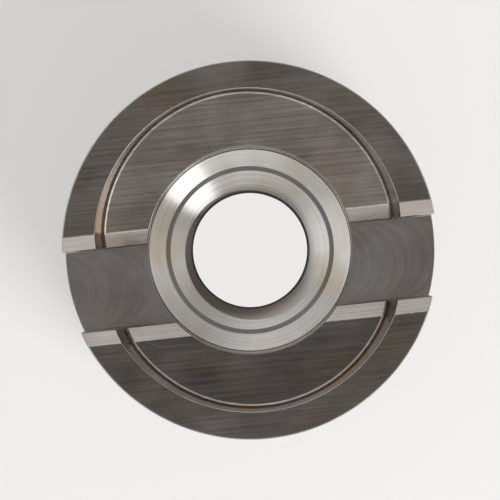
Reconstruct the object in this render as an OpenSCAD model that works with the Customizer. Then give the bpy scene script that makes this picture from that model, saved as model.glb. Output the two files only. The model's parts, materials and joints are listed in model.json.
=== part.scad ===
// Knockout punch for sheet metal, one piece of hardened steel.
// It stands on its flat back face, with the cutting rim up and the splitting slot along X.

/* [Body] */
// Cutting diameter, which is the size of the hole that the punch makes
cut_d = 20.4; // [18.6:0.1:28.4]
// Height from the back face to the cutting points
punch_h = 19; // [17:0.5:26]
// Chamfer round the back edge
back_chamfer = 0.6; // [0.2:0.1:1.2]

/* [Cutting rim] */
// Slope of the cutting edge, from the slot up to each cutting point, in degrees
shear_angle = 10; // [6:1:14]
// Width of the ground land along the rim, at the cutting points
land_w = 1.5; // [1:0.1:2]
// Slope of the two faces inside the rim, in degrees
face_angle = 20; // [16:1:22]
// Depth of those faces below the land, measured beside the slot
face_depth = 1.9; // [1.7:0.1:2.4]
// Draft of the wall between the land and the faces, in degrees
wall_draft = 12; // [5:1:25]

/* [Splitting slot] */
// Width of the slot floor
slot_w = 4.4; // [4:0.1:5.6]
// Distance of the slot's middle from the axis, towards -Y, which leaves the +Y side the larger one
slot_offset = 1.3; // [0:0.1:1.5]
// Depth of the slot floor below the cutting points
slot_depth = 6; // [5:0.25:8]
// Width of the chamfers along the slot's upper edges, on the land and on the faces
chamfer_w = 0.8; // [0.3:0.05:1]
// Slope of those chamfers, in degrees
chamfer_angle = 35; // [30:1:45]

/* [Threaded hole] */
// Nominal diameter of the draw stud's thread
thread_d = 8; // [7:0.5:9]
// Pitch of that thread
thread_pitch = 1.25; // [0.75:0.25:1.5]
// Width of the countersink past the thread's roots, at each end of the thread
thread_relief = 0.4; // [0.1:0.05:0.6]
// Width of the flat seat round the countersink
seat_w = 0.25; // [0.15:0.05:1]
// Width of the bevel between the seat and the pocket's wall
pocket_bevel = 0.95; // [0.4:0.05:1.2]
// Depth of the pocket's straight wall below the slot floor
pocket_step = 0.2; // [0.1:0.05:0.5]
// Slope of the countersinks and of the pocket's bevel, in degrees
sink_angle = 30; // [20:5:45]

/* [Hidden] */
$fn = 128;
// How far a cutter runs past the outer faces, and into a space that is already cut
past = 1;
lap = 0.3;
// Share of the pitch by which the bore is smaller than the nominal diameter of a metric thread
bore_share = 1.0825;

cut_r = cut_d / 2;
slot_z = punch_h - slot_depth;
top_z = punch_h + past;

// Distances from the axis to the slot's edge on the +Y side, and on the -Y side
plus_edge = slot_w / 2 - slot_offset;
minus_edge = slot_w / 2 + slot_offset;

// Radii and heights of the stud's hole, from the bore out
bore_r = (thread_d - bore_share * thread_pitch) / 2;
sink_r = thread_d / 2 + thread_relief;
seat_r = sink_r + seat_w;
pocket_r = seat_r + pocket_bevel;
sink_depth = (sink_r - bore_r) * tan(sink_angle);
pocket_z = slot_z - pocket_step;
seat_z = pocket_z - pocket_bevel * tan(sink_angle);

// Height of the land at a distance from the axis, and of the face on the side with this slot edge
function land_z(y) = punch_h - (cut_r - y) * tan(shear_angle);
function face_z(edge, y) = land_z(edge) - face_depth + (y - edge) * tan(face_angle);

// Outline in Y and Z from its two sides, each listed upwards with distances from the axis
function outline(plus, minus) =
    concat(plus, [for (k = [len(minus) - 1 : -1 : 0]) [-minus[k][0], minus[k][1]]]);

// One side of the cutter for the faces: the chamfer out of the slot, then the face
function face_side(edge) =
    let (chamfer_top = face_z(edge, edge + chamfer_w))
    [
        [edge - lap, chamfer_top - (chamfer_w + lap) * tan(chamfer_angle)],
        [edge + chamfer_w, chamfer_top],
        [cut_r, face_z(edge, cut_r)],
        [cut_r, top_z + past]
    ];

// One side of the cutter for the slot: its wall, then the chamfer out over the land
function slot_side(edge) =
    let (
        chamfer_top = land_z(edge + chamfer_w),
        flare_w = chamfer_w + (top_z - chamfer_top) / tan(chamfer_angle)
    )
    [
        [edge, slot_z],
        [edge, chamfer_top - chamfer_w * tan(chamfer_angle)],
        [edge + flare_w, top_z]
    ];

// Round bar with a chamfer round its back edge, left long for the cutting rim
module blank() {
    rotate_extrude()
        polygon([
            [0, 0],
            [cut_r - back_chamfer, 0],
            [cut_r, back_chamfer],
            [cut_r, top_z],
            [0, top_z]
        ]);
}

// Outline in Y and Z, run through the whole bar along X
module along_slot() {
    rotate([90, 0, 90])
        linear_extrude(height = 2 * (cut_r + past), center = true)
            children();
}

// Everything above the two planes that the cutting edge lies in
module shear_cut() {
    reach = cut_r + past;
    along_slot()
        polygon([
            [0, land_z(0)],
            [reach, land_z(reach)],
            [reach, land_z(reach) + past],
            [-reach, land_z(reach) + past],
            [-reach, land_z(reach)]
        ]);
}

// Two sloped faces inside the rim, with the chamfers down to the slot
module dished_faces() {
    plus = face_side(plus_edge);
    minus = face_side(minus_edge);
    foot_z = min(plus[0][1], minus[0][1]) - past;
    point_inner_r = cut_r - land_w;
    point_inner_z = land_z(point_inner_r);
    intersection() {
        translate([0, 0, foot_z])
            cylinder(
                r1 = point_inner_r - (point_inner_z - foot_z) * tan(wall_draft),
                r2 = point_inner_r + (top_z - point_inner_z) * tan(wall_draft),
                h = top_z - foot_z
            );
        along_slot()
            polygon(outline(plus, minus));
    }
}

// Slot across the whole face, where the slug is split in two
module splitting_slot() {
    along_slot()
        polygon(outline(slot_side(plus_edge), slot_side(minus_edge)));
}

// Bore for the stud's thread, with a countersink at each end, and the pocket round its mouth
module stud_hole() {
    rotate_extrude()
        polygon([
            [0, -past],
            [sink_r + past / tan(sink_angle), -past],
            [bore_r, sink_depth],
            [bore_r, seat_z - sink_depth],
            [sink_r, seat_z],
            [seat_r, seat_z],
            [pocket_r, pocket_z],
            [pocket_r, top_z],
            [0, top_z]
        ]);
}

module punch() {
    color([0.42, 0.40, 0.38])
        difference() {
            blank();
            shear_cut();
            dished_faces();
            splitting_slot();
            stud_hole();
        }
}

punch();
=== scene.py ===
import json
import math

import bmesh
import bpy
from mathutils import Matrix, Vector


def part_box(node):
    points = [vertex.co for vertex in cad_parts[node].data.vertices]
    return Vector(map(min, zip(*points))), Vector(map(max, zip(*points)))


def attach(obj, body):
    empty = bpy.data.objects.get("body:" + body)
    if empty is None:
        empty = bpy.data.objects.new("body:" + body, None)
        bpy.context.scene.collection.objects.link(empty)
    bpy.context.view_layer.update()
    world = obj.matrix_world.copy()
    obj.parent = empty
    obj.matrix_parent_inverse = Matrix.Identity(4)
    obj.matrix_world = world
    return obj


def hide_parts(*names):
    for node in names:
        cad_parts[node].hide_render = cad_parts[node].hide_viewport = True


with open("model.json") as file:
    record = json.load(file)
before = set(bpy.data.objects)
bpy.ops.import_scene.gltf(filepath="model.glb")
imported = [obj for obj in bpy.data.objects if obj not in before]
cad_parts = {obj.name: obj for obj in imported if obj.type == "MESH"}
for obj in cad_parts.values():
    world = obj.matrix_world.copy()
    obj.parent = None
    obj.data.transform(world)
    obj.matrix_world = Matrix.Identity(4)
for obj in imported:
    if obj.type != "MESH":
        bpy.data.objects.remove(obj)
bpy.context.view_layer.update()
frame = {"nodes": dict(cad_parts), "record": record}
scene = bpy.context.scene
scene.view_settings.view_transform = "Standard"
mm = 0.001
print("frame loaded:", list(frame["nodes"]))

punchLow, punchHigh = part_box("punch")
punchWidth = (punchHigh.x - punchLow.x) / mm
punchHeight = punchHigh.z / mm

# Camera straight above the cutting face, turned so that the slot rises a little to the right
shot = {
    "faceShare": 0.76,      # part of the picture's width that the punch fills
    "distance": 210,        # from the cutting points to the lens, mm
    "slotTurn": 6,          # degrees
    "sensor": 36,           # mm
    "clipStart": 10,        # mm
}
cameraData = bpy.data.cameras.new("shotCamera")
cameraData.sensor_width = shot["sensor"]
cameraData.lens = shot["sensor"] * shot["distance"] * shot["faceShare"] / punchWidth
cameraData.clip_start = shot["clipStart"] * mm
camera = bpy.data.objects.new("shotCamera", cameraData)
camera.location = (0, 0, (punchHeight + shot["distance"]) * mm)
camera.rotation_euler = (0, 0, -math.radians(shot["slotTurn"]))
scene.collection.objects.link(camera)
scene.camera = camera
print("camera placed")

# Sizes of the punch in millimetres and degrees, the same as its solid has
size = {
    "backChamfer": 0.6,
    "shearAngle": 10,
    "landWidth": 1.5,
    "faceAngle": 20,
    "faceDepth": 1.9,
    "wallDraft": 12,
    "slotWidth": 4.4,
    "slotOffset": 1.3,
    "slotDepth": 6,
    "chamferWidth": 0.8,
    "chamferAngle": 35,
    "threadDiameter": 8,
    "threadPitch": 1.25,
    "threadRelief": 0.4,
    "seatWidth": 0.25,
    "pocketBevel": 0.95,
    "pocketStep": 0.2,
    "sinkAngle": 30,
    "past": 1,              # how far each cutter runs past the steel
    "lap": 0.3,             # and into a space that is already cut
    "facets": 172,          # round the axis, with no line between them beside the slot's edges
}


def rise(angleName):
    return math.tan(math.radians(size[angleName]))


cutRadius = min(-punchLow.x, -punchLow.y, punchHigh.x, punchHigh.y) / mm     # inside the solid's box
punchTop = round(punchHeight, 2)        # without the last digits of the solid's mesh
past = size["past"]
topZ = punchTop + past
slotZ = punchTop - size["slotDepth"]
plusEdge = size["slotWidth"] / 2 - size["slotOffset"]       # from the axis to the slot, on the +Y side
minusEdge = size["slotWidth"] / 2 + size["slotOffset"]
boreRadius = frame["record"]["mounts"][0]["dims"]["r_mm"]
threadRadius = size["threadDiameter"] / 2
sinkRadius = threadRadius + size["threadRelief"]
seatRadius = sinkRadius + size["seatWidth"]
pocketRadius = seatRadius + size["pocketBevel"]
sinkDepth = (sinkRadius - boreRadius) * rise("sinkAngle")
pocketZ = slotZ - size["pocketStep"]
seatZ = pocketZ - size["pocketBevel"] * rise("sinkAngle")


def linearColour(hexText):
    channels = [int(hexText[i:i + 2], 16) / 255 for i in (1, 3, 5)]
    return [c / 12.92 if c <= 0.04045 else ((c + 0.055) / 1.055) ** 2.4 for c in channels] + [1]


# Adds a node with its settings, and sets each input or links it to a socket or to a node's first output
def addNode(tree, kind, settings=None, inputs=None):
    node = tree.nodes.new(kind)
    for key, value in (settings or {}).items():
        setattr(node, key, value)
    for key, value in (inputs or {}).items():
        if isinstance(value, bpy.types.Node):
            value = value.outputs[0]
        if isinstance(value, bpy.types.NodeSocket):
            tree.links.new(value, node.inputs[key])
        else:
            node.inputs[key].default_value = value
    return node


# Hardened tool steel with the marks that its last tool left: round the axis, along the slot, or in the arcs
# of an end mill. The marks draw the light out into fine lines, a trace of oil changes the gloss in soft
# patches, and hardening leaves a faint straw tint.
def steelFinish(name, finish):
    material = bpy.data.materials.new(name)
    material.use_nodes = True
    tree = material.node_tree
    tree.nodes.clear()
    place = addNode(tree, "ShaderNodeTexCoord")
    spot = addNode(tree, "ShaderNodeVectorMath", {"operation": "SCALE"},
                   {0: place.outputs["Object"], "Scale": 1 / mm})       # in millimetres
    x, y, z = addNode(tree, "ShaderNodeSeparateXYZ", None, {0: spot}).outputs

    across = y
    along = x
    if finish["lay"] == "round":
        flat = addNode(tree, "ShaderNodeCombineXYZ", None, {0: x, 1: y})
        across = addNode(tree, "ShaderNodeVectorMath", {"operation": "LENGTH"}, {0: flat}).outputs["Value"]
        along = addNode(tree, "ShaderNodeMath", {"operation": "ADD"}, {0: x, 1: y})
    if finish["lay"] == "arcs":         # each arc has the radius of the mill, which is as wide as the slot
        along = addNode(tree, "ShaderNodeMath", {"operation": "ADD"}, {0: y, 1: size["slotOffset"]})
        squared = addNode(tree, "ShaderNodeMath", {"operation": "MULTIPLY"}, {0: along, 1: along})
        left = addNode(tree, "ShaderNodeMath", {"operation": "SUBTRACT"},
                       {0: (size["slotWidth"] / 2) ** 2, 1: squared})
        bulge = addNode(tree, "ShaderNodeMath", {"operation": "SQRT"}, {0: left})
        across = addNode(tree, "ShaderNodeMath", {"operation": "SUBTRACT"}, {0: x, 1: bulge})
    laid = addNode(tree, "ShaderNodeCombineXYZ", None, {0: across, 1: along, 2: z})
    markRate = 1 / finish["markSpacing"]
    markMap = addNode(tree, "ShaderNodeMapping", None,
                      {"Vector": laid, "Scale": (markRate, markRate / finish["markStretch"], markRate)})
    marks = addNode(tree, "ShaderNodeTexNoise", None,
                    {"Vector": markMap, "Scale": 1.0, "Detail": finish["markDetail"]})

    # A few hair scratches from handling, each bent a little
    bend = addNode(tree, "ShaderNodeTexNoise", None,
                   {"Vector": spot, "Scale": 1 / finish["bendLength"], "Detail": 0.0})
    bent = addNode(tree, "ShaderNodeVectorMath", {"operation": "MULTIPLY_ADD"},
                   {0: bend.outputs["Color"], 1: (finish["bendLength"], finish["bendLength"], 0), 2: spot})
    slant = addNode(tree, "ShaderNodeMapping", None,
                    {"Vector": bent, "Rotation": (0, 0, math.radians(finish["scratchTurn"]))})
    thin = addNode(tree, "ShaderNodeMapping", None, {
        "Vector": slant,
        "Scale": (1 / finish["scratchLength"], 1 / finish["scratchWidth"], 1 / finish["cloudWidth"]),
    })
    scratchNoise = addNode(tree, "ShaderNodeTexNoise", None, {"Vector": thin, "Scale": 1.0, "Detail": 0.0})
    scratches = addNode(tree, "ShaderNodeMapRange", None, {
        "Value": scratchNoise,
        "From Min": finish["scratchFrom"],
        "From Max": finish["scratchFrom"] + finish["scratchFade"],
    })

    clouds = addNode(tree, "ShaderNodeTexNoise", None,
                     {"Vector": spot, "Scale": 1 / finish["cloudWidth"], "Detail": finish["cloudDetail"]})
    noiseSpread = {"From Min": 0.3, "From Max": 0.7}        # most values of a noise lie between these
    cloudShare = addNode(tree, "ShaderNodeMapRange", None, {"Value": clouds} | noiseSpread)
    markShare = addNode(tree, "ShaderNodeMapRange", None, {"Value": marks} | noiseSpread)
    toneShare = addNode(tree, "ShaderNodeMix", None, {0: finish["markTone"], 2: cloudShare, 3: markShare})
    tone = addNode(tree, "ShaderNodeMix", {"data_type": "RGBA"}, {
        0: toneShare,
        6: linearColour(finish["darkTone"]),
        7: linearColour(finish["lightTone"]),
    })
    strawMap = addNode(tree, "ShaderNodeMapping", None, {"Vector": spot, "Location": finish["strawPlace"]})
    strawNoise = addNode(tree, "ShaderNodeTexNoise", None, {
        "Vector": strawMap,
        "Scale": 1 / finish["cloudWidth"],
        "Detail": finish["strawDetail"],
    })
    strawShare = addNode(tree, "ShaderNodeMapRange", None, {
        "Value": strawNoise,
        "From Min": finish["strawFrom"],
        "From Max": finish["strawFull"],
        "To Max": finish["strawShare"],
    })
    colour = addNode(tree, "ShaderNodeMix", {"data_type": "RGBA"},
                     {0: strawShare, 6: tone.outputs[2], 7: linearColour(finish["strawTone"])})
    if "oilAndShadeTone" in finish:        # darker oil and painted shade, from a little inside the two mouths of the hole
        fromMiddle = addNode(tree, "ShaderNodeMath", {"operation": "SUBTRACT"}, {0: z, 1: seatZ / 2})
        depth = addNode(tree, "ShaderNodeMath", {"operation": "ABSOLUTE"}, {0: fromMiddle})
        oilAndShadeShare = addNode(tree, "ShaderNodeMapRange", {"interpolation_type": "SMOOTHSTEP"}, {
            "Value": depth,
            "From Min": seatZ / 2 - finish["deepFull"],
            "From Max": seatZ / 2 - finish["deepFrom"],
            "To Min": 1.0,
            "To Max": 0.0,
        })
        # Mixes in the painted shade of the hole's depth, together with its oil
        colour = addNode(tree, "ShaderNodeMix", {"data_type": "RGBA"},
                         {0: oilAndShadeShare, 6: colour.outputs[2], 7: linearColour(finish["oilAndShadeTone"])})

    markGloss = addNode(tree, "ShaderNodeMath", {"operation": "MULTIPLY_ADD"},
                        {0: marks, 1: finish["markGloss"], 2: finish["roughness"]})
    oilGloss = addNode(tree, "ShaderNodeMath", {"operation": "MULTIPLY_ADD"},
                       {0: cloudShare, 1: finish["oilGloss"], 2: markGloss})
    gloss = addNode(tree, "ShaderNodeMath", {"operation": "MULTIPLY_ADD"},
                    {0: scratches, 1: finish["scratchGloss"], 2: oilGloss})
    markBump = addNode(tree, "ShaderNodeBump", None,
                       {"Height": marks, "Strength": 1.0, "Distance": finish["markDepth"] * mm})
    scratchBump = addNode(tree, "ShaderNodeBump", {"invert": True}, {
        "Height": scratches,
        "Strength": 1.0,
        "Distance": finish["scratchDepth"] * mm,
        "Normal": markBump,
    })
    steel = addNode(tree, "ShaderNodeBsdfPrincipled", None, {
        "Base Color": colour.outputs[2],
        "Metallic": 1.0,
        "Roughness": gloss,
        "Normal": scratchBump,
    })
    addNode(tree, "ShaderNodeOutputMaterial", None, {"Surface": steel})
    return material


# Widths, spacings and depths in millimetres. Real marks are about a third as wide and wouldn't show.
steelBase = {
    "darkTone": "#827872",
    "lightTone": "#C6BCB6",
    "strawTone": "#B59B68",
    "strawShare": 0.3,      # at most
    "strawFrom": 0.45,      # value of its noise where the straw tint starts
    "strawFull": 0.7,
    "strawPlace": (31, 17, 5),
    "strawDetail": 2,
    "cloudWidth": 3,
    "cloudDetail": 4,
    "markTone": 0.42,       # share of the marks in the change of tone, the clouds have the rest
    "markStretch": 45,      # times as long as wide
    "markDetail": 2,
    "markGloss": 0.06,
    "oilGloss": 0.05,
    "bendLength": 4,
    "scratchTurn": 28,      # degrees
    "scratchLength": 2.5,
    "scratchWidth": 0.08,
    "scratchFrom": 0.77,
    "scratchFade": 0.08,
    "scratchGloss": 0.08,
    "scratchDepth": 0.001,
}
# Surface-ground tool steel: dark, with straight hair lines along the slot
groundLand = steelFinish("groundToolSteelLand", steelBase | {
    "lay": "along", "markSpacing": 0.1, "markDepth": 0.003, "roughness": 0.17, "scratchTurn": 64})
# Cylinder-ground tool steel: an even grey with very fine lines round the body
groundOutside = steelFinish("groundToolSteelOutside", steelBase | {
    "darkTone": "#9A9591", "lightTone": "#B4AFAB", "strawShare": 0.05, "markTone": 0.65, "cloudWidth": 7,
    "oilGloss": 0.03, "lay": "round", "markSpacing": 0.1, "markDepth": 0.003, "roughness": 0.17,
    "markStretch": 500, "scratchFrom": 0.8})
# Milled and hardened tool steel: dark and a little brown, with lines along the slot
milledFace = steelFinish("milledToolSteelFace", steelBase | {
    "lay": "along", "markSpacing": 0.13, "markDepth": 0.0035, "roughness": 0.17})
# End-milled tool steel: brighter, with the mill's overlapping arcs
milledSlot = steelFinish("endMilledToolSteelSlot", steelBase | {
    "darkTone": "#AEA49F", "lightTone": "#E0D8D3", "strawShare": 0.15, "markStretch": 25,
    "lay": "arcs", "markSpacing": 0.2, "markDepth": 0.004, "roughness": 0.18, "scratchTurn": -40})
# Ground tool steel on the chamfers: pale bands that mirror the bright walls
chamferSteel = steelFinish("groundToolSteelChamfer", steelBase | {
    "darkTone": "#9F9791", "lightTone": "#CBC4BE", "strawShare": 0.1, "scratchFrom": 0.85,
    "lay": "along", "markSpacing": 0.1, "markDepth": 0.003, "roughness": 0.2})
# Turned tool steel: bright and clean, with fine rings round the hole, and darker inside it from oil and
# painted shade
turnedFinish = steelBase | {
    "darkTone": "#B4AFAB", "lightTone": "#DCD9D5", "strawShare": 0.4, "scratchFrom": 0.85,
    # darker deep in the hole: painted shade, with some oil
    "oilAndShadeTone": "#6E6661", "deepFrom": 0.3, "deepFull": 0.9,
    "lay": "round", "markSpacing": 0.11, "markDepth": 0.005, "roughness": 0.14}
turnedSteel = steelFinish("turnedToolSteel", turnedFinish)
# Tapped tool steel: the same, with the smoother and duller flanks that a tap leaves
tappedSteel = steelFinish("tappedToolSteel", turnedFinish | {"markDepth": 0.003, "roughness": 0.18})
# Burnished steel: the handled edges, where a thin bright line shows
edgeSteel = steelFinish("burnishedSteelEdge", steelBase | {
    "darkTone": "#A59F9A", "lightTone": "#D2CECA", "scratchFrom": 0.85,
    "lay": "round", "markSpacing": 0.2, "markDepth": 0.001, "roughness": 0.16, "cloudWidth": 1.5})
print("steel finishes made")


def linkMesh(name, mesh):
    made = bpy.data.objects.new(name, mesh)
    scene.collection.objects.link(made)
    return made


def closeMesh(name, bm, material):
    bmesh.ops.recalc_face_normals(bm, faces=bm.faces)
    for face in bm.faces:
        face.material_index = 0
    mesh = bpy.data.meshes.new(name)
    bm.to_mesh(mesh)
    bm.free()
    mesh.materials.append(material)
    return linkMesh(name, mesh)


# Solid turned round the axis from (radius, height) points that start and end on the axis
def turnedSolid(name, outline, material):
    facets = size["facets"]
    bm = bmesh.new()
    rings = []
    for radius, height in outline:
        steps = facets if radius > 0 else 1
        angles = [2 * math.pi * k / facets for k in range(steps)]
        places = [(radius * math.cos(a), radius * math.sin(a), height) for a in angles]
        rings.append([bm.verts.new(place) for place in places])
    for lower, upper in zip(rings, rings[1:]):
        for k in range(facets):
            corners = []
            for ring, step in ((lower, k), (lower, k + 1), (upper, k + 1), (upper, k)):
                corner = ring[step % len(ring)]
                if corner not in corners:
                    corners.append(corner)
            bm.faces.new(corners)
    return closeMesh(name, bm, material)


# Solid run along the slot from the (distance, height) points of its +Y side and of its -Y side
def milledSolid(name, plusSide, minusSide, material):
    outline = plusSide + [(-y, z) for y, z in reversed(minusSide)]
    reach = cutRadius + past
    bm = bmesh.new()
    ends = [[bm.verts.new((x, y, z)) for y, z in outline] for x in (-reach, reach)]
    for end in ends:
        bm.faces.new(end)
    for k in range(len(outline)):
        n = (k + 1) % len(outline)
        bm.faces.new((ends[0][k], ends[0][n], ends[1][n], ends[1][k]))
    return closeMesh(name, bm, material)


def bakeModifiers(piece):
    depsgraph = bpy.context.evaluated_depsgraph_get()
    mesh = bpy.data.meshes.new_from_object(piece.evaluated_get(depsgraph))
    piece.modifiers.clear()
    old = piece.data
    piece.data = mesh
    bpy.data.meshes.remove(old)


# One machining step: the tool's faces, with their own finish, are left in the work
def machine(work, tool, operation="DIFFERENCE"):
    step = work.modifiers.new("step", "BOOLEAN")
    step.operation = operation
    step.solver = "EXACT"
    step.material_mode = "TRANSFER"
    step.object = tool
    bakeModifiers(work)
    bpy.data.objects.remove(tool)


# Height of the land at a distance from the axis, and of the face on the side with this slot edge
def landZ(y):
    return punchTop - (cutRadius - y) * rise("shearAngle")


def faceZ(edge, y):
    return landZ(edge) - size["faceDepth"] + (y - edge) * rise("faceAngle")


# One side of the tool for the faces: the chamfer out of the slot, then the face
def faceSide(edge):
    chamferEdge = edge + size["chamferWidth"]
    chamferTop = faceZ(edge, chamferEdge)
    return [
        (edge - size["lap"], chamferTop - (size["chamferWidth"] + size["lap"]) * rise("chamferAngle")),
        (chamferEdge, chamferTop),
        (cutRadius, faceZ(edge, cutRadius)),
        (cutRadius, topZ + past),
    ]


# One side of the tool for the slot: its wall, then the chamfer out over the land
def slotSide(edge):
    chamferEdge = edge + size["chamferWidth"]
    chamferTop = landZ(chamferEdge)
    return [
        (edge, slotZ),
        (edge, chamferTop - size["chamferWidth"] * rise("chamferAngle")),
        (chamferEdge + (topZ - chamferTop) / rise("chamferAngle"), topZ),
    ]


punch = turnedSolid("punch_steel", [
    (0, 0),
    (cutRadius - size["backChamfer"], 0),
    (cutRadius, size["backChamfer"]),
    (cutRadius, topZ),
    (0, topZ),
], groundOutside)

# The two planes that the cutting edge lies in
shearReach = cutRadius + past
shearSide = [(0, landZ(0)), (shearReach, landZ(shearReach)), (shearReach, landZ(shearReach) + past)]
machine(punch, milledSolid("shearTool", shearSide, shearSide[1:], groundLand))

# Two sloped faces inside the rim, with the chamfers down to the slot
plusFace = faceSide(plusEdge)
minusFace = faceSide(minusEdge)
dishFoot = min(plusFace[0][1], minusFace[0][1]) - past
pointRadius = cutRadius - size["landWidth"]
pointZ = landZ(pointRadius)
dishTool = milledSolid("dishTool", plusFace, minusFace, milledFace)
machine(dishTool, turnedSolid("dishRound", [
    (0, dishFoot),
    (pointRadius - (pointZ - dishFoot) * rise("wallDraft"), dishFoot),
    (pointRadius + (topZ - pointZ) * rise("wallDraft"), topZ),
    (0, topZ),
], milledFace), "INTERSECT")
machine(punch, dishTool)

# Slot across the whole face
machine(punch, milledSolid("slotTool", slotSide(plusEdge), slotSide(minusEdge), milledSlot))

# Bore with a countersink at each end, and the pocket round its mouth
machine(punch, turnedSolid("holeTool", [
    (0, -past),
    (sinkRadius + past / rise("sinkAngle"), -past),
    (boreRadius, sinkDepth),
    (boreRadius, seatZ - sinkDepth),
    (sinkRadius, seatZ),
    (seatRadius, seatZ),
    (pocketRadius, pocketZ),
    (pocketRadius, topZ),
    (0, topZ),
], turnedSteel))
print("punch machined:", len(punch.data.polygons), "faces")

# Right-hand metric thread, cut by a tap that Geometry Nodes make from one helix-sheared grid
thread = {
    "halfOpening": 3 / 8,       # pitches, at the crests
    "halfRoot": 1 / 16,         # pitches
    "crestGap": 0.02,           # mm from the tap to the bore, whose wall stays as the thread's crests
    "startTurn": -107,          # degrees, brings the broad end of the run-out to the -Y side
    "level": 0.0001,            # mm, within which two heights are the same
    "weld": 0.0005,             # mm
}
tapSizes = {
    "Major Radius": threadRadius,
    "Minor Radius": boreRadius - thread["crestGap"],
    "Pitch": size["threadPitch"],
    "Low": -past,
    "High": seatZ + past,
    "Turns": math.ceil((seatZ + 2 * past) / size["threadPitch"]) + 1,
    "Rows Per Turn": 16,        # puts a row on each corner of the thread's profile
    "Columns": 120,
    "Start": math.radians(thread["startTurn"]),
}


def tapTree():
    tree = bpy.data.node_groups.new("threadTap", "GeometryNodeTree")
    for name, value in tapSizes.items():
        kind = "NodeSocketFloat" if isinstance(value, float) else "NodeSocketInt"
        tree.interface.new_socket(name=name, in_out="INPUT", socket_type=kind)
    tree.interface.new_socket(name="Finish", in_out="INPUT", socket_type="NodeSocketMaterial")
    tree.interface.new_socket(name="Tap", in_out="OUTPUT", socket_type="NodeSocketGeometry")
    given = addNode(tree, "NodeGroupInput").outputs

    # Columns run once round, and rows run up the helix
    columns = addNode(tree, "ShaderNodeMath", {"operation": "ADD"}, {0: given["Columns"], 1: 1.0})
    rows = addNode(tree, "ShaderNodeMath", {"operation": "MULTIPLY_ADD"},
                   {0: given["Turns"], 1: given["Rows Per Turn"], 2: 1.0})
    grid = addNode(tree, "GeometryNodeMeshGrid", None, {
        "Size X": 2 * math.pi,
        "Size Y": given["Turns"],
        "Vertices X": columns,
        "Vertices Y": rows,
    })
    position = addNode(tree, "GeometryNodeInputPosition")
    angle, turn = addNode(tree, "ShaderNodeSeparateXYZ", None, {0: position}).outputs[:2]
    lift = addNode(tree, "ShaderNodeMath", {"operation": "MULTIPLY_ADD"},
                   {0: angle, 1: 1 / (2 * math.pi), 2: turn})
    ends = addNode(tree, "ShaderNodeMath", {"operation": "ADD"}, {0: given["Low"], 1: given["High"]})
    middle = addNode(tree, "ShaderNodeMath", {"operation": "MULTIPLY"}, {0: ends, 1: 0.5})
    height = addNode(tree, "ShaderNodeMath", {"operation": "MULTIPLY_ADD"},
                     {0: lift, 1: given["Pitch"], 2: middle})
    held = addNode(tree, "ShaderNodeClamp", None, {0: height, 1: given["Low"], 2: given["High"]})

    phase = addNode(tree, "ShaderNodeMath", {"operation": "FRACT"}, {0: turn})
    fromRoot = addNode(tree, "ShaderNodeMath", {"operation": "SUBTRACT"}, {0: phase, 1: 0.5})
    flank = addNode(tree, "ShaderNodeMath", {"operation": "ABSOLUTE"}, {0: fromRoot})
    profile = addNode(tree, "ShaderNodeMapRange", None, {
        "Value": flank,
        "From Min": thread["halfOpening"],
        "From Max": thread["halfRoot"],
        "To Min": given["Minor Radius"],
        "To Max": given["Major Radius"],
    })
    inside = addNode(tree, "ShaderNodeMath", {"operation": "COMPARE"},
                     {0: height, 1: held, 2: thread["level"]})
    radius = addNode(tree, "ShaderNodeMath", {"operation": "MULTIPLY"}, {0: profile, 1: inside})
    outwards = addNode(tree, "ShaderNodeCombineXYZ", None, {0: radius, 2: held})
    heading = addNode(tree, "ShaderNodeMath", {"operation": "ADD"}, {0: angle, 1: given["Start"]})
    turned = addNode(tree, "ShaderNodeVectorRotate", {"rotation_type": "Z_AXIS"},
                     {"Vector": outwards, "Angle": heading})
    helix = addNode(tree, "GeometryNodeSetPosition", None, {"Geometry": grid, "Position": turned})
    welded = addNode(tree, "GeometryNodeMergeByDistance", None,
                     {"Geometry": helix, "Distance": thread["weld"]})
    real = addNode(tree, "GeometryNodeRealizeInstances", None, {0: welded})
    finished = addNode(tree, "GeometryNodeSetMaterial", None,
                       {"Geometry": real, "Material": given["Finish"]})
    addNode(tree, "NodeGroupOutput", None, {0: finished})
    return tree


helix = linkMesh("threadHelix", bpy.data.meshes.new("threadHelix"))
helixStep = helix.modifiers.new("thread", "NODES")
helixStep.node_group = tapTree()
for item in helixStep.node_group.interface.items_tree:
    if item.in_out == "INPUT":
        helixStep[item.identifier] = tappedSteel if item.name == "Finish" else tapSizes[item.name]
bakeModifiers(helix)
bm = bmesh.new()
bm.from_mesh(helix.data)
bpy.data.objects.remove(helix)
machine(punch, closeMesh("tap", bm, tappedSteel))
print("thread cut:", len(punch.data.polygons), "faces")

# Small breaks on the machined edges, and a fillet at the foot of the wall inside the rim
edgeBreaks = {
    "width": 0.06,          # mm
    "cuttingEdge": 0.1,     # mm
    "fillet": 0.2,          # mm
    "segments": 3,
    "sharpAngle": 12,       # degrees, from which an edge is broken
    "creaseAngle": 5,       # degrees, from which it isn't just the line between two facets
    "room": 0.34,           # mm from a corner to the next point of a filleted edge, less on the others
    "weld": 0.0001,         # mm
    "near": 0.01,           # mm or, for a slope, of the normal's length
}
near = edgeBreaks["near"]
finishNames = [slot.name for slot in punch.data.materials]
milledIndex = finishNames.index(milledFace.name)
tappedIndex = finishNames.index(tappedSteel.name)
chamferIndex = len(finishNames)
edgeIndex = chamferIndex + 1
chamferUp = math.cos(math.radians(size["chamferAngle"]))
rimFoot = landZ(plusEdge + size["chamferWidth"]) - near
wallLean = size["faceDepth"] * rise("wallDraft")
filletRadius = pointRadius - wallLean - 2 * edgeBreaks["fillet"]        # just inside the fillet


def inSlot(place):
    return -minusEdge - near < place.y < plusEdge + near


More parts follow.
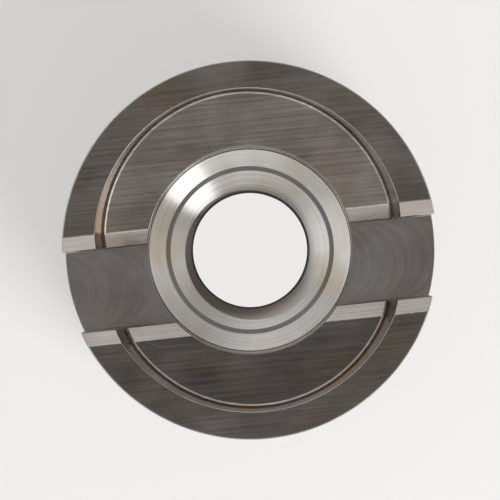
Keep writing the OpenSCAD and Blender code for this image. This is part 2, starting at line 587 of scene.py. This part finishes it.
bm = bmesh.new()
bm.from_mesh(punch.data)
bmesh.ops.remove_doubles(bm, verts=bm.verts, dist=edgeBreaks["weld"])
bmesh.ops.dissolve_degenerate(bm, dist=edgeBreaks["weld"], edges=bm.edges)
bm.normal_update()
edgeValues = bm.edges.layers.float
weight = edgeValues.get("bevel_weight_edge") or edgeValues.new("bevel_weight_edge")
for face in bm.faces:
    face.smooth = True
    if abs(face.normal.z - chamferUp) < near and abs(face.normal.x) < near:
        face.material_index = chamferIndex
creases = set()
for edge in bm.edges:
    bend = edge.calc_face_angle_signed(0)
    middle = (edge.verts[0].co + edge.verts[1].co) / 2
    radius = middle.xy.length
    tapped = any(face.material_index == tappedIndex for face in edge.link_faces)
    inHole = tapped or radius < threadRadius or abs(middle.z - seatZ) < near
    broken = abs(bend) > math.radians(edgeBreaks["sharpAngle"]) and not inHole
    if abs(bend) > math.radians(edgeBreaks["creaseAngle"]):
        creases.add(edge)
        edge.smooth = broken        # the edges in the hole and the flatter creases stay crisp
    if broken and bend < 0 and radius > pocketRadius + size["lap"] and not inSlot(middle):
        edge[weight] = 1
    elif broken and radius > cutRadius - near and middle.z > rimFoot:
        edge[weight] = edgeBreaks["cuttingEdge"] / edgeBreaks["fillet"]
    elif broken:
        edge[weight] = edgeBreaks["width"] / edgeBreaks["fillet"]

# Points of a round edge that lie beside a corner move into it, so that the breaks have room there
moved = {}
for corner in bm.verts:
    if len(creases.intersection(corner.link_edges)) < 3:        # a corner has three creases or more
        continue
    for edge in corner.link_edges:
        point = edge.other_vert(corner)
        onward = creases.intersection(point.link_edges) - {edge}
        while len(onward) == 1 and (point.co - corner.co).length < edge[weight] * edgeBreaks["room"]:
            moved[point] = corner
            edge = onward.pop()
            point = edge.other_vert(point)
            onward = creases.intersection(point.link_edges) - {edge}
bmesh.ops.weld_verts(bm, targetmap=moved)
bm.to_mesh(punch.data)
bm.free()
punch.data.materials.append(chamferSteel)
punch.data.materials.append(edgeSteel)

breakStep = punch.modifiers.new("edgeBreaks", "BEVEL")
breakStep.limit_method = "WEIGHT"
breakStep.width = edgeBreaks["fillet"]
breakStep.segments = edgeBreaks["segments"]
breakStep.use_clamp_overlap = False
breakStep.material = edgeIndex
bakeModifiers(punch)

# The fillet has the finish of the faces that it runs into
for face in punch.data.polygons:
    middle = face.center
    byWall = filletRadius < middle.xy.length < pointRadius and not inSlot(middle)
    belowLand = middle.z < landZ(abs(middle.y)) - edgeBreaks["fillet"]
    if face.material_index == edgeIndex and byWall and belowLand:
        face.material_index = milledIndex
normalStep = punch.modifiers.new("flatFaces", "WEIGHTED_NORMAL")
normalStep.keep_sharp = True
bakeModifiers(punch)
punch.data.transform(Matrix.Scale(mm, 4))
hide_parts("punch")
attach(punch, "root")
print("edges broken:", len(punch.data.polygons), "faces")

# Pale floor with the punch's shadow, and painted light that keeps it pale through the hole too, where
# little light falls
stage = {
    "halfWidth": 600,       # mm
    "below": 0.02,          # mm under the back face, so that the two don't share one plane
    "colour": "#F4F3F1",
    "ownShare": 0.5,        # part of what the camera sees that needs no light on the floor
    # painted light: under the hole the floor glows paler than the light falling there makes it
    "paintedGlowShareInHole": 0.92,
    "ownShareInSteel": 0.15,    # the same for what the steel mirrors
}
half = stage["halfWidth"] * mm
drop = -stage["below"] * mm
floorColour = linearColour(stage["colour"])
floorCorners = [(-half, -half, drop), (half, -half, drop), (half, half, drop), (-half, half, drop)]
floorMesh = bpy.data.meshes.new("floor")
floorMesh.from_pydata(floorCorners, [], [(0, 1, 2, 3)])
floor = linkMesh("floor", floorMesh)
floorMaterial = bpy.data.materials.new("paleFloor")
floorMaterial.use_nodes = True
tree = floorMaterial.node_tree
tree.nodes.clear()
lit = addNode(tree, "ShaderNodeBsdfDiffuse", None, {"Color": floorColour})
shown = addNode(tree, "ShaderNodeEmission", None, {"Color": floorColour, "Strength": 1.0})
place = addNode(tree, "ShaderNodeTexCoord")
fromAxis = addNode(tree, "ShaderNodeVectorMath", {"operation": "LENGTH"}, {0: place.outputs["Object"]})
# The floor's glow rises towards the axis: painted light on the floor seen through the hole
cameraShare = addNode(tree, "ShaderNodeMapRange", None, {
    "Value": fromAxis.outputs["Value"],
    "From Min": sinkRadius * mm,
    "From Max": cutRadius * mm,
    "To Min": stage["paintedGlowShareInHole"],
    "To Max": stage["ownShare"],
})
rays = addNode(tree, "ShaderNodeLightPath").outputs
steelShare = addNode(tree, "ShaderNodeMath", {"operation": "MULTIPLY"},
                     {0: rays["Is Glossy Ray"], 1: stage["ownShareInSteel"]})
ownShare = addNode(tree, "ShaderNodeMath", {"operation": "MULTIPLY_ADD"},
                   {0: rays["Is Camera Ray"], 1: cameraShare, 2: steelShare})
mixed = addNode(tree, "ShaderNodeMixShader", None, {0: ownShare, 1: lit, 2: shown})
addNode(tree, "ShaderNodeOutputMaterial", None, {"Surface": mixed})
floorMesh.materials.append(floorMaterial)

# Soft light from the four walls of a white tent, with a dim opening overhead for the camera
tent = {
    "openingAngle": 51,     # degrees from straight up to the edge of the opening
    "softness": 5,          # degrees
    "wall": 1.2,            # white is 1
    "wallLean": 0.22,       # how much brighter the wall is on its bright side
    "wallBrightSide": (-0.95, -0.3, 0),
    "corners": 0.3,         # how much of the light the tent loses in its corners
    "walls": 4,
    "opening": 0.285,
    "openingLean": 0.58,    # the same for the opening
    "openingBrightSide": (0.25, -0.97, 0),
    "openingPower": 3,      # keeps the middle of the opening even
}
world = bpy.data.worlds.new("lightTent")
world.use_nodes = True
tree = world.node_tree
tree.nodes.clear()
direction = addNode(tree, "ShaderNodeTexCoord").outputs["Generated"]
east, north, up = addNode(tree, "ShaderNodeSeparateXYZ", None, {0: direction}).outputs
azimuth = addNode(tree, "ShaderNodeMath", {"operation": "ARCTAN2"}, {0: north, 1: east})
wallTurn = addNode(tree, "ShaderNodeMath", {"operation": "MULTIPLY"}, {0: azimuth, 1: tent["walls"]})
wallMiddles = addNode(tree, "ShaderNodeMath", {"operation": "COSINE"}, {0: wallTurn})
cornerShade = addNode(tree, "ShaderNodeMapRange", None,
                      {"Value": wallMiddles, "From Min": -1.0, "To Min": 1 - tent["corners"]})
wallSide = addNode(tree, "ShaderNodeVectorMath", {"operation": "DOT_PRODUCT"},
                   {0: direction, 1: tent["wallBrightSide"]})
evenWall = addNode(tree, "ShaderNodeMath", {"operation": "MULTIPLY_ADD"},
                   {0: wallSide.outputs["Value"], 1: tent["wallLean"], 2: tent["wall"]})
wall = addNode(tree, "ShaderNodeMath", {"operation": "MULTIPLY"}, {0: evenWall, 1: cornerShade})
openingSide = addNode(tree, "ShaderNodeVectorMath", {"operation": "DOT_PRODUCT"},
                      {0: direction, 1: tent["openingBrightSide"]})
openingBend = addNode(tree, "ShaderNodeMath", {"operation": "POWER"},
                      {0: openingSide.outputs["Value"], 1: tent["openingPower"]})
opening = addNode(tree, "ShaderNodeMath", {"operation": "MULTIPLY_ADD"},
                  {0: openingBend, 1: tent["openingLean"], 2: tent["opening"]})
openShare = addNode(tree, "ShaderNodeMapRange", {"interpolation_type": "SMOOTHSTEP"}, {
    "Value": up,
    "From Min": math.cos(math.radians(tent["openingAngle"] + tent["softness"])),
    "From Max": math.cos(math.radians(tent["openingAngle"] - tent["softness"])),
})
brightness = addNode(tree, "ShaderNodeMix", None, {0: openShare, 2: wall, 3: opening})
tentLight = addNode(tree, "ShaderNodeBackground", None, {"Strength": brightness})
addNode(tree, "ShaderNodeOutputWorld", None, {"Surface": tentLight})
scene.world = world

# A small softbox that the steel mirrors, and a larger lamp on the same side for the floor and its shadow
lamps = {
    "softbox": {
        "width": 110,       # mm
        "distance": 300,    # mm
        "fromAbove": 57,    # degrees from straight up
        "azimuth": -52,     # degrees
        "radiance": 1.9,    # white is 1
        "mirrored": True,
    },
    "floorLamp": {
        "width": 140,
        "distance": 300,
        "fromAbove": 50,
        "azimuth": -52,
        "radiance": 11,
        "mirrored": False,
    },
}
for name, lamp in lamps.items():
    lampData = bpy.data.lights.new(name, "AREA")
    lampData.size = lamp["width"] * mm
    lampData.energy = lamp["radiance"] * math.pi * lampData.size ** 2       # watts for that radiance
    light = bpy.data.objects.new(name, lampData)
    tilt = math.radians(lamp["fromAbove"])
    turn = math.radians(lamp["azimuth"])
    towards = Vector((math.sin(tilt) * math.cos(turn), math.sin(tilt) * math.sin(turn), math.cos(tilt)))
    light.location = towards * lamp["distance"] * mm
    light.rotation_euler = towards.to_track_quat("Z", "Y").to_euler()
    light.visible_glossy = lamp["mirrored"]
    scene.collection.objects.link(light)
print("floor, tent and lamps made")
